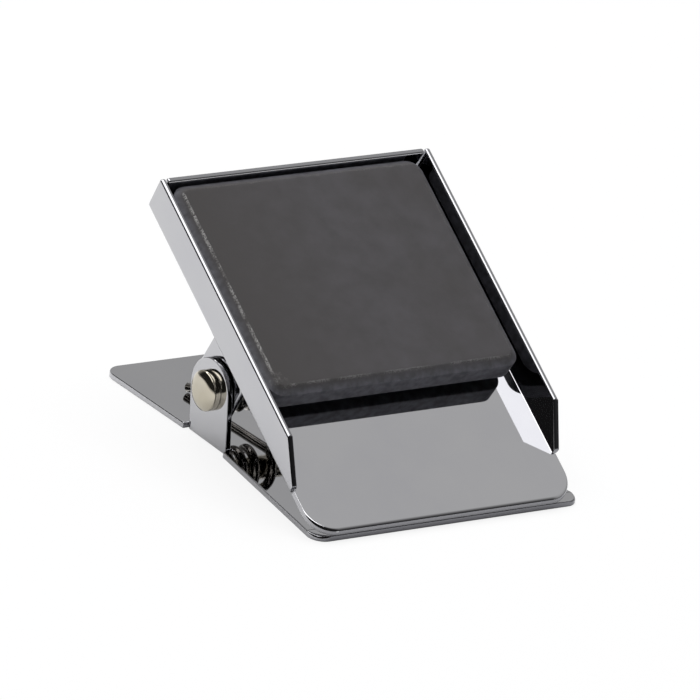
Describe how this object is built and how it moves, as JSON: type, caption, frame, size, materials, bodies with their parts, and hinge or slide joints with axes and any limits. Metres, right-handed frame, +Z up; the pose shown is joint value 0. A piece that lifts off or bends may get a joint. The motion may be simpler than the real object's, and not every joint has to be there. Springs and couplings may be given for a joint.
{
  "type": "magnetic clip",
  "caption": "Spring clip of folded chrome sheet: a ferrite magnet sits in a walled tray that forms one jaw and pivots on a pin between the ears of a flat base jaw with a squeezing lever.",
  "frame": {"origin": "bottom middle of the whole clip's box, with the base plate lying on z = 0 and the jaws shut", "axes": "+X along the pivot pin to the right, +Y from the jaw edge to the lever end, +Z up out of the base plate"},
  "size_m": [0.0412, 0.0524, 0.0314],
  "materials": {
    "chrome_sheet": "mirror-bright chrome plating on folded sheet steel",
    "nickel_rivet": "warm, lightly worn nickel plating",
    "spring_wire": "drawn spring wire with an oily sheen",
    "foam_tape": "black closed-cell foam tape",
    "ferrite": "ground sintered ferrite with pale chipped edges"
  },
  "bodies": {
    "base": {"base_plate": "chrome_sheet", "pivot_pin": "nickel_rivet", "torsion_spring": "spring_wire"},
    "tray": {"magnet_tray": "chrome_sheet", "adhesive_pad": "foam_tape", "magnet": "ferrite"}
  },
  "joints": [
    {"name": "jaw_hinge", "type": "hinge", "parent": "base", "child": "tray", "pos_m": [-0.00029, 0.00511, 0.00665], "axis": [-1, 0, 0], "range_deg": [0, 70], "stiffness_Nm_per_rad": 0.1, "springref_deg": -60.16, "deforming": ["torsion_spring"]}
  ]
}
